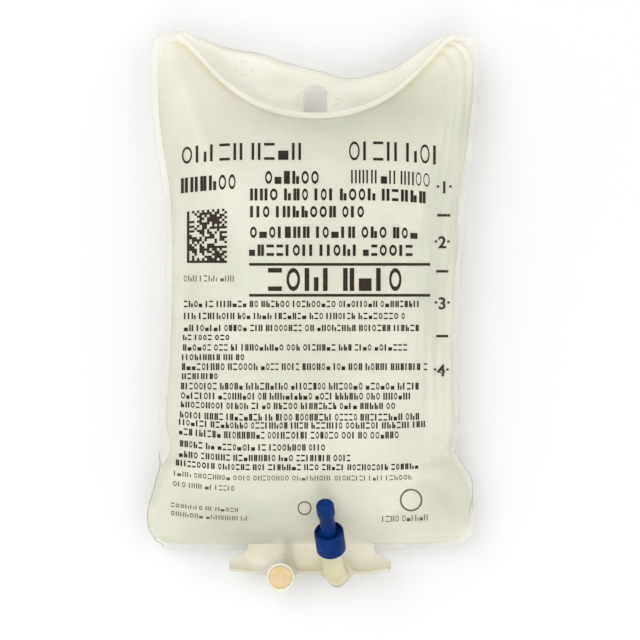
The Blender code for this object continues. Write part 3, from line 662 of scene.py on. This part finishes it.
def inkMaterial(dark, light):
    # Solvent ink, transfer printed: nearly black, worn thin in specks of just under a millimetre
    made, tree, shader = newMaterial(
        "brown printing ink (transfer printed)", {"Roughness": 0.5, "Specular IOR Level": 0.2})
    place = addNode(tree, "ShaderNodeTexCoord").outputs["Object"]
    specks = addNode(tree, "ShaderNodeTexNoise",
                     inputs={"Vector": place, "Scale": 1 / (0.9 * mm), "Detail": 3})
    colour = addNode(tree, "ShaderNodeValToRGB", inputs={"Fac": specks.outputs["Fac"]},
                     stops=[(0.42, dark), (0.72, light)])
    tree.links.new(colour.outputs["Color"], shader.inputs["Base Color"])
    return made


# Port tubes and their fittings
def tubeLine(port):
    # Centre line of a port tube: flat between the films, round the curl and straight out
    lean, full = math.radians(port["lean"]), math.radians(port["turn"])
    across = Vector((math.sin(lean), 0, math.cos(lean)))
    bow = bag["curlBow"] * ((port["x"] - bag["stripCentre"]) / (bag["stripEnd"] / 2)) ** 2
    root = Vector((port["x"], bag["footY"] - ports["root"], bag["seamFoot"]))
    start = Vector((port["x"], bag["footY"] - bag["curlStart"] + bow, bag["seamFoot"]))
    radius = bag["curlRadius"]
    points, directions = [root, start], [Vector((0, -1, 0))] * 2
    steps = max(10, port["turn"] // 6)
    for k in range(1, steps + 1):
        turn = full * k / steps
        points.append(start - Vector((0, radius * math.sin(turn), 0))
                      + across * radius * (1 - math.cos(turn)))
        directions.append(Vector((0, -math.cos(turn), 0)) + across * math.sin(turn))
    points.append(points[-1] + directions[-1] * port["straight"])
    directions.append(directions[-1])
    return points, directions


def portSeat(port):
    # Where a port's fittings stand: on the end of its tube, along it
    points, directions = tubeLine(port)
    seat = directions[-1].to_track_quat("Z", "Y").to_matrix().to_4x4()
    seat.translation = points[-1]
    return seat


def addRing(bm, centre, direction, radius, sides=64):
    turn = direction.to_track_quat("Z", "X").to_matrix().to_4x4()
    turn.translation = centre
    return bmesh.ops.create_circle(bm, segments=sides, radius=radius, matrix=turn)["verts"]


def makeTube(name, port, material, bead=None, beadLength=1.4, edge=0.5):
    # A wall of rings down the outside and back up the bore, with a rounded bead at its end if it has one
    points, directions = tubeLine(port)
    stations = [(p, d, ports["tube"]) for p, d in zip(points, directions)]
    if bead:
        end, along = points[-1], directions[-1]
        stations[-1] = (end - along * (beadLength + 0.5), along, ports["tube"])
        for back, radius in ((beadLength, ports["tube"] + 0.25), (beadLength - 0.25, bead - 0.08),
                             (beadLength - edge, bead), (edge, bead), (edge * 0.3, bead - 0.15),
                             (0, bead - edge)):
            stations.append((end - along * back, along, radius))
    bm = bmesh.new()
    rings = [addRing(bm, *station) for station in stations]
    bore = ports["tube"] - ports["wall"]
    rings += [addRing(bm, p, d, bore) for p, d in zip(points[::-1], directions[::-1])]
    for a, b in zip(rings, rings[1:] + rings[:1]):
        bridgeRings(bm, a, b)
    bmesh.ops.recalc_face_normals(bm, faces=bm.faces)
    return finishPiece(name, bm, [material], sharpAngle=40)


def turnedPiece(name, profile, seat, material, rounding, body="bag", steps=72):
    # Turned from (radius, height) points about its own axis, its edges rounded, then stood on its seat
    bm = bmesh.new()
    verts = [bm.verts.new((r, 0, z)) for r, z in profile]
    edges = [bm.edges.new((a, b)) for a, b in zip(verts, verts[1:])]
    if profile[0][0] > 0:
        edges.append(bm.edges.new((verts[-1], verts[0])))
    bmesh.ops.spin(bm, geom=verts + edges, cent=(0, 0, 0), axis=(0, 0, 1), angle=2 * math.pi,
                   steps=steps, use_merge=True)
    bmesh.ops.remove_doubles(bm, verts=bm.verts, dist=1e-4)
    bmesh.ops.recalc_face_normals(bm, faces=bm.faces)
    sharp = [e for e in bm.edges if e.is_manifold and e.calc_face_angle() > math.radians(32)]
    bmesh.ops.bevel(bm, geom=sharp, affect="EDGES", offset=rounding, segments=3, profile=0.5,
                    material=-1, clamp_overlap=True)
    bmesh.ops.transform(bm, matrix=seat, verts=bm.verts)
    return finishPiece(name, bm, [material], body, sharpAngle=50)


injection = dict(gap=0.3, flange=0.6, plugLength=5.0, plugRadius=4.4, proud=0.3, ringRadius=3.2,
                 ringDepth=0.12, sleeveLength=9.2, sleeveWall=0.45)


def makeInjectionPort():
    port = ports["injection"]
    pvc, clear = tubeMaterial(), sleeveMaterial()
    tube = makeTube("injectionTube", port, pvc)
    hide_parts("injection_port_tube")
    seat = portSeat(port)
    s = injection
    foot = s["flange"] + 2 * s["gap"]
    top = foot + s["plugLength"]
    r, ring = s["plugRadius"], s["ringRadius"]
    plug = turnedPiece("resealPlug", [
        (0, foot), (r - 0.5, foot), (r, foot + 0.5), (r, top - 0.45), (r - 0.35, top - 0.12),
        (r - 0.7, top), (ring + 0.25, top), (ring + 0.1, top - s["ringDepth"]),
        (ring - 0.1, top - s["ringDepth"]), (ring - 0.25, top), (0, top)],
        seat, rubberMaterial(), rounding=0.06)
    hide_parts("reseal_plug")
    bore = r + s["gap"] * 0.3
    lip = top - s["proud"]
    wall = s["sleeveWall"] + s["gap"] * 0.7
    sleeve = turnedPiece("injectionSleeve", [
        (bore, lip - s["sleeveLength"]), (bore + wall, lip - s["sleeveLength"]),
        (bore + wall, lip - 0.3), (bore + wall * 0.6, lip), (bore, lip)],
        seat, clear, rounding=0.1)
    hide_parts("injection_sleeve")
    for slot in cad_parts["injection_membrane_tube"].material_slots:
        slot.material = clear
    print("injection port")
    return pvc, clear


outlet = dict(gap=0.3, bead=4.9, spike=3.7, spikeLength=6.8, socketWall=0.7, diaphragm=0.4, depth=6.0)
cap = dict(collar=5.6, collarLength=10.0, rim=0.9, recess=1.5, neck=2.9, neckLength=8.3, knob=3.4,
           knobLength=6.4, edge=0.5, foot=0.3)


def makeOutletPort(pvc, clear):
    port = ports["outlet"]
    tube = makeTube("outletTube", port, pvc, bead=outlet["bead"])
    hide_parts("outlet_port_tube")
    seat = portSeat(port)
    s = outlet
    inner = ports["tube"] - ports["wall"] - s["gap"]
    bore = inner - s["socketWall"]
    socket = turnedPiece("spikeSocket", [
        (0, 0), (bore, 0), (bore, -s["depth"]), (inner, -s["depth"]), (inner, s["gap"]),
        (s["spike"], s["gap"]), (s["spike"], s["spikeLength"] - 0.5), (s["spike"] - 0.5, s["spikeLength"]),
        (bore, s["spikeLength"]), (bore, s["diaphragm"] + 0.8), (0, s["diaphragm"])],
        seat, clear, rounding=0.12)
    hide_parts("outlet_membrane_tube")
    print("outlet port")


def makeProtector():
    c = cap
    seat = portSeat(ports["outlet"])
    socket = outlet["spike"] + outlet["gap"]
    foot = c["foot"]
    top = foot + c["collarLength"]
    floor = top - c["recess"]
    knob = top + c["neckLength"]
    tip = knob + c["knobLength"]
    e = c["edge"]
    protector = turnedPiece("protector", [
        (socket, foot), (c["collar"] - e, foot), (c["collar"], foot + e), (c["collar"], top - e),
        (c["collar"] - e * 0.6, top), (c["collar"] - c["rim"], top), (c["collar"] - c["rim"] - 0.15, floor),
        (c["neck"] + e, floor), (c["neck"], floor + 2 * e), (c["neck"] - 0.1, (floor + knob) / 2),
        (c["neck"], knob - 0.3), (c["knob"] - 0.2, knob + e * 0.6), (c["knob"], knob + e * 1.4),
        (c["knob"], tip - 1.6), (c["knob"] - 0.35, tip - 0.8), (c["knob"] - 1.2, tip - 0.1),
        (c["knob"] - 2.0, tip), (0, tip),
        (0, foot + outlet["spikeLength"] + 0.3), (socket, foot + outlet["spikeLength"] + 0.3),
        (socket, foot)], seat, capMaterial(), rounding=0.16, body="protector")
    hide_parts("port_protector")
    print("protector")


# The photograph's 640 x 640 frame: the pixel at x = 0 and y = 0, and pixels in a millimetre
photo = dict(x=315.5, y=320, scale=2.606)
# Print on the front film: greeked rows of plain shapes, two rules, a block pattern, rings and a scale,
# all in pixels of the photograph. A row is (left, right, top, bottom)
ink = dict(
    lift=0.09, cell=0.8, seed=11,  # how far the ink stands off the film and its cells, in millimetres
    rules=[(249, 430, 263.0, 265.8), (249, 430, 293.9, 296.7)],
    rows=[
        # Each style with its rows: the title, then the bold, stamped and thin rows
        (dict(stroke=4.6, pitch=17.5, words=(4, 4)), [(268, 409, 268, 291)]),
        (dict(stroke=3.0, pitch=9.4, words=(3, 8)), [
            (181, 239, 174, 189), (265, 331, 171, 184), (250, 429, 188.5, 200.5), (250, 366, 206, 217.5),
            (250, 425, 226.5, 238), (249, 421, 244.5, 256)]),
        (dict(stroke=2.7, pitch=13.5, words=(3, 6)), [(182, 311, 143, 160), (349, 449, 141.5, 160.5)]),
        (dict(stroke=1.7, pitch=8.0, words=(3, 8)), [(351, 430, 170, 183.5)]),
        # The small rows, which stand a little over and under their places, and the faint ones
        (dict(stroke=1.5, pitch=5.0, words=(2, 9), over=0.3, under=0.2), [
            (184, 421, 301, 307), (184, 408, 313, 319), (184, 420, 325, 331), (183, 231, 335, 340),
            (183, 409, 344.5, 350.5), (182, 245, 354.5, 360), (182, 430, 363.5, 370),
            (182, 220, 373.5, 379), (181, 421, 383, 389.5), (181, 413, 393, 399.5), (181, 397, 403, 409),
            (180, 423, 414, 420.5), (179, 425, 422.5, 428.5), (179, 405, 432, 438.5),
            (180, 329, 444.5, 450.5), (179, 354, 455, 461), (176, 425, 464.5, 470)]),
        (dict(stroke=1.0, pitch=4.8, words=(2, 9), faint=1), [
            (174, 413, 475.5, 480.5), (173, 236, 486, 491), (171, 240, 508, 512), (171, 250, 516, 520.5),
            (382, 430, 516, 522), (184, 237, 275.5, 281.5)]),
    ],
    # Shares of the pitch: a form's least and greatest width, the gaps after a form and after a word
    formWide=(0.62, 0.82), formGap=0.26, wordGap=0.42,
    # By chance below each share a form is two bars, a ring, one bar or two lines, and else a low block
    forms=(0.34, 0.56, 0.74, 0.88), shortBar=0.4, lowBlock=0.45,
    code=(187, 227, 208, 263), codeCells=(16, 22), codeShare=0.55,
    rings=[(304.5, 508, 7.0, 1.3), (411, 500, 11.3, 1.7)],
    numbers=[("1", 444, 188), ("2", 442, 243), ("3", 442, 304), ("4", 441, 371)],
    # A figure's height, its height as a share of the font's size, how much bolder it is, and its two dots
    figure=11.5, figureShare=0.70, figureBold=0.16, dotsAt=(-7.5, 5.0), dot=(2.5, -2.6, -0.4),
    dashes=[(437, 450, 214.0, 216.6), (436, 448, 270.0, 272.6), (436, 448, 334.8, 337.4)],
    # In millimetres: where the ends of the rows start to bend, and how far they hang or rise at the reach
    bow=dict(left=-25, right=20, reach=29, top=22, topEase=20, foot=-23, footEase=23,
             hang=2.0, leftRise=1.9, rightRise=1.2),
)


def photoPlace(px, py):
    # Where a pixel of the photograph lies at the height of the weld, in millimetres
    return (px - photo["x"]) / photo["scale"], (photo["y"] - py) / photo["scale"]


def onFilm(skin, x, y, lift):
    # The point of the film that the camera sees over a place at the height of the weld
    eye = Vector((camera["x"], camera["y"], camera["height"])) * mm
    seam = Vector((x, y, camera["seam"])) * mm
    hit, normal, _, _ = skin.ray_cast(eye, (seam - eye).normalized())
    return (hit + normal * lift * mm) / mm


def inkBar(bm, left, right, top, bottom, faint=0):
    # One flat bar of ink, cut fine enough to follow the film
    (x0, y0), (x1, y1) = photoPlace(left, bottom), photoPlace(right, top)
    across, up = math.ceil((x1 - x0) / ink["cell"]), math.ceil((y1 - y0) / ink["cell"])
    middle = Matrix.Translation(((x0 + x1) / 2, (y0 + y1) / 2, 0))
    place = middle @ Matrix.Diagonal((x1 - x0, y1 - y0, 1, 1))
    made = bmesh.ops.create_grid(bm, x_segments=across, y_segments=up, size=0.5, matrix=place)
    for face in {f for vert in made["verts"] for f in vert.link_faces}:
        face.material_index = faint


def inkRing(bm, px, py, radius, wall, faint=0, squeeze=1.0):
    x, y = photoPlace(px, py)
    radius, wall = radius / photo["scale"], wall / photo["scale"]
    steps = max(14, int(radius * 12))
    place = Matrix.Translation((x, y, 0)) @ Matrix.Diagonal((squeeze, 1, 1, 1))
    rings = [bmesh.ops.create_circle(bm, segments=steps, radius=r, matrix=place)["verts"]
             for r in (radius, radius - wall)]
    for face in bridgeRings(bm, *rings):
        face.material_index = faint


def inkRow(bm, chance, left, right, top, bottom, stroke, pitch, words, faint=0, over=0, under=0):
    # A greeked row: words of upright bars, low blocks and rings, with no letter among them
    twoBars, aRing, oneBar, twoLines = ink["forms"]
    top, bottom = top - over, bottom + under
    tall = bottom - top
    x = left
    while x < right - pitch * 0.8:
        for _ in range(chance.randint(*words)):
            wide = pitch * chance.uniform(*ink["formWide"])
            if x + wide > right:
                break
            form = chance.random()
            if form < twoBars:
                inkBar(bm, x, x + stroke, top, bottom, faint)
                lower = top + tall * chance.choice((0, 0, ink["shortBar"]))
                inkBar(bm, x + wide - stroke, x + wide, lower, bottom, faint)
            elif form < aRing:
                inkRing(bm, x + wide / 2, (top + bottom) / 2, tall / 2, stroke * 0.95, faint, wide / tall)
            elif form < oneBar:
                inkBar(bm, x, x + stroke, top, bottom, faint)
                x -= wide * 0.35
            elif form < twoLines:
                inkBar(bm, x, x + wide, top, top + stroke, faint)
                inkBar(bm, x, x + wide, bottom - stroke, bottom, faint)
            else:
                inkBar(bm, x, x + wide, top + tall * ink["lowBlock"], bottom, faint)
            x += wide + pitch * ink["formGap"]
        x += pitch * ink["wordGap"]


def inkCode(bm, chance):
    # A block of random cells: a solid edge on the left and below, a dotted one above and on the right
    left, right, top, bottom = ink["code"]
    across, down = ink["codeCells"]
    wide, tall = (right - left) / across, (bottom - top) / down
    for j in range(down):
        run = 0
        for i in range(across + 1):
            solid = i == 0 or j == down - 1
            dotted = j == 0 or i == across - 1
            dark = solid or (i + j) % 2 == 0 if solid or dotted else chance.random() < ink["codeShare"]
            if i < across and dark:
                run += 1
            elif run:
                inkBar(bm, left + (i - run) * wide, left + i * wide, top + j * tall, top + (j + 1) * tall)
                run = 0


def inkNumber(bm, figure, px, py):
    # A plain figure from the built-in font between two dots, made a mesh and laid in its place
    data = bpy.data.curves.new("figure", "FONT")
    data.body = figure
    data.align_x, data.align_y = "CENTER", "CENTER"
    data.size = ink["figure"] / photo["scale"] / ink["figureShare"]
    data.offset = ink["figureBold"]
    shape = addObject("figure", data)
    mesh = bpy.data.meshes.new_from_object(shape.evaluated_get(bpy.context.evaluated_depsgraph_get()))
    bpy.data.objects.remove(shape)
    before, others = set(bm.verts), set(bm.edges)
    bm.from_mesh(mesh)
    x, y = photoPlace(px, py)
    bmesh.ops.translate(bm, vec=(x, y, 0), verts=[v for v in bm.verts if v not in before])
    bmesh.ops.triangulate(bm, faces=[f for f in bm.faces if not before.intersection(f.verts)])
    for _ in range(2):
        long = [e for e in bm.edges if e not in others and e.calc_length() > ink["cell"]]
        bmesh.ops.subdivide_edges(bm, edges=long, cuts=1)
    wide, high, low = ink["dot"]
    for side in ink["dotsAt"]:
        inkBar(bm, px + side, px + side + wide, py + high, py + low)


def printBow(x, y):
    # The swollen film bends the rows: their ends hang near the top of the bag and rise near its foot
    bow = ink["bow"]
    top = smoothStep((y - bow["top"]) / bow["topEase"])
    low = smoothStep((bow["foot"] - y) / bow["footEase"])
    left, right = max(bow["left"] - x, 0) / bow["reach"], max(x - bow["right"], 0) / bow["reach"]
    rise = bow["leftRise"] * left ** 2 + bow["rightRise"] * right ** 2
    return top * -bow["hang"] * (left ** 2 + right ** 2) + low * rise


def makePrint(skin):
    chance = random.Random(ink["seed"])
    bm = bmesh.new()
    for row in ink["rules"]:
        inkBar(bm, *row)
    for style, places in ink["rows"]:
        for place in places:
            inkRow(bm, chance, *place, **style)
    inkCode(bm, chance)
    for vert in bm.verts:
        vert.co.y += printBow(vert.co.x, vert.co.y)
    for row in ink["dashes"]:
        inkBar(bm, *row)
    for ring in ink["rings"]:
        inkRing(bm, *ring, faint=1)
    for number in ink["numbers"]:
        inkNumber(bm, *number)
    for vert in bm.verts:
        vert.co = onFilm(skin, vert.co.x, vert.co.y, ink["lift"])
    bmesh.ops.recalc_face_normals(bm, faces=bm.faces)
    bm.normal_update()
    bmesh.ops.reverse_faces(bm, faces=[f for f in bm.faces if f.normal.z < 0])
    inks = [inkMaterial("#1d130b", "#33261a"), inkMaterial("#5f5442", "#756a58")]
    piece = finishPiece("print", bm, inks)
    print("print:", len(piece.data.polygons), "faces")


# Relief that the weld die leaves on the hanger flap: a rim round the hole and plain strokes beside it
relief = dict(
    radius=0.30, sink=0.10, step=0.45, taper=0.45, sides=12,
    # Strokes in pixels of the photograph
    arch=[(302.5, 113), (302.6, 98), (304.5, 91.5), (309, 87), (315.5, 85), (322, 87), (326.5, 91.5),
          (328.4, 98), (328.5, 113)],
    strokes=[[(291, 104.5), (297, 97), (304, 89)], [(294, 108), (299.5, 101.5)],
             [(331, 97), (337, 98.5), (343, 101)], [(332, 106), (340, 103.5)],
             [(240, 62), (243.5, 60.5), (247.5, 62)], [(234, 72), (235.5, 69), (237.5, 66.5)],
             [(250.5, 67), (252.5, 70), (253.5, 73)], [(239, 75), (246, 75.5)]],
)


def makeRelief(skin, weld):
    bm = bmesh.new()
    for stroke in [relief["arch"]] + relief["strokes"]:
        corners = [Vector((*photoPlace(*spot), 0)) for spot in stroke]
        points = []
        for a, b in zip(corners, corners[1:]):
            count = max(1, round((b - a).length / relief["step"]))
            points += [a.lerp(b, k / count) for k in range(count)]
        points = [onFilm(skin, p.x, p.y, -relief["sink"]) for p in points + corners[-1:]]
        rings = []
        for k, p in enumerate(points):
            along = (points[min(k + 1, len(points) - 1)] - points[max(k - 1, 0)]).normalized()
            taper = relief["taper"] if k in (0, len(points) - 1) else 1.0
            rings.append(addRing(bm, p, along, relief["radius"] * taper, relief["sides"]))
        for a, b in zip(rings, rings[1:]):
            bridgeRings(bm, a, b)
    bmesh.ops.holes_fill(bm, edges=[e for e in bm.edges if e.is_boundary])
    bmesh.ops.recalc_face_normals(bm, faces=bm.faces)
    finishPiece("hangerRelief", bm, [weld], sharpAngle=60)
    print("hanger relief")


# Studio. The table is in millimetres; to the camera it turns pure white between two distances from the
# bag, in metres
table = dict(size=4000, drop=0.4, colour="#ebebeb", whiteFrom=0.4, whiteAt=1.0)


def makeStage():
    bm = bmesh.new()
    bmesh.ops.create_grid(bm, x_segments=1, y_segments=1, size=table["size"])
    bmesh.ops.translate(bm, vec=(0, 0, -table["drop"]), verts=bm.verts)
    # Matt white laminate: it keeps the shadow near the bag
    made, tree, shader = newMaterial("white laminate table (matt)", {"Roughness": 0.7})
    shader.inputs["Base Color"].default_value = hexColour(table["colour"])
    place = addNode(tree, "ShaderNodeTexCoord").outputs["Object"]
    away = addNode(tree, "ShaderNodeVectorMath", {"operation": "LENGTH"}, {0: place})
    far = addNode(tree, "ShaderNodeMapRange", {"interpolation_type": "SMOOTHSTEP"}, {
        "Value": away.outputs["Value"], "From Min": table["whiteFrom"], "From Max": table["whiteAt"]})
    path = addNode(tree, "ShaderNodeLightPath")
    seen = addNode(tree, "ShaderNodeMath", {"operation": "MULTIPLY"},
                   {0: far.outputs["Result"], 1: path.outputs["Is Camera Ray"]})
    white = addNode(tree, "ShaderNodeEmission", inputs={"Strength": 1.0})
    mixed = addNode(tree, "ShaderNodeMixShader", inputs={
        0: seen.outputs["Value"], 1: shader.outputs["BSDF"], 2: white.outputs["Emission"]})
    tree.links.new(mixed.outputs["Shader"], tree.nodes["Material Output"].inputs["Surface"])
    addObject("floor", meshFrom("floor", bm, [made]))


# Softboxes by their middles and widths in metres and their power in watts; each aims at the bag
lamps = dict(
    key=dict(at=(-0.55, 0.60, 1.10), size=1.0, power=7.0),
    left=dict(at=(-0.9, 0.05, 0.6), size=0.9, power=3.0),
    right=dict(at=(0.95, 0.1, 0.65), size=0.9, power=4.4),
    footLeft=dict(at=(-0.30, -0.85, 0.95), size=1.0, power=3.0),
    footRight=dict(at=(0.35, -0.85, 0.95), size=1.0, power=4.4),
)
# The white room's strength as a light, and as it is seen
world = dict(light=0.46, seen=1.0)


def makeLights():
    for name, lamp in lamps.items():
        data = bpy.data.lights.new(name, "AREA")
        data.shape = "RECTANGLE"
        data.size, data.size_y = lamp["size"], lamp["size"] * 1.4
        data.energy = lamp["power"]
        made = addObject(name, data)
        made.location = lamp["at"]
        made.rotation_euler = (-Vector(lamp["at"])).to_track_quat("-Z", "Y").to_euler()
    room = bpy.data.worlds.new("soft room")
    bpy.context.scene.world = room
    room.use_nodes = True
    tree = room.node_tree
    back = tree.nodes["Background"]
    back.inputs["Color"].default_value = (1, 1, 1, 1)
    # It is seen by the eye, in gloss and through the clear film
    path = addNode(tree, "ShaderNodeLightPath")
    plain = addNode(tree, "ShaderNodeMath", {"operation": "MAXIMUM"},
                    {0: path.outputs["Is Camera Ray"], 1: path.outputs["Is Glossy Ray"]})
    seen = addNode(tree, "ShaderNodeMath", {"operation": "MAXIMUM"},
                   {0: plain.outputs["Value"], 1: path.outputs["Is Transmission Ray"]})
    level = addNode(tree, "ShaderNodeMapRange", inputs={
        "Value": seen.outputs["Value"], "To Min": world["light"], "To Max": world["seen"]})
    tree.links.new(level.outputs["Result"], back.inputs["Strength"])


makeCamera()
print("camera")
film = makeFilledBag()
pvc, clear = makeInjectionPort()
makeOutletPort(pvc, clear)
makeProtector()
skin = BVHTree.FromObject(film, bpy.context.evaluated_depsgraph_get())
makeRelief(skin, film.data.materials[finish["band"]])
makePrint(skin)
makeStage()
makeLights()
print("table and lights")
bpy.context.scene.view_settings.view_transform = "Standard"
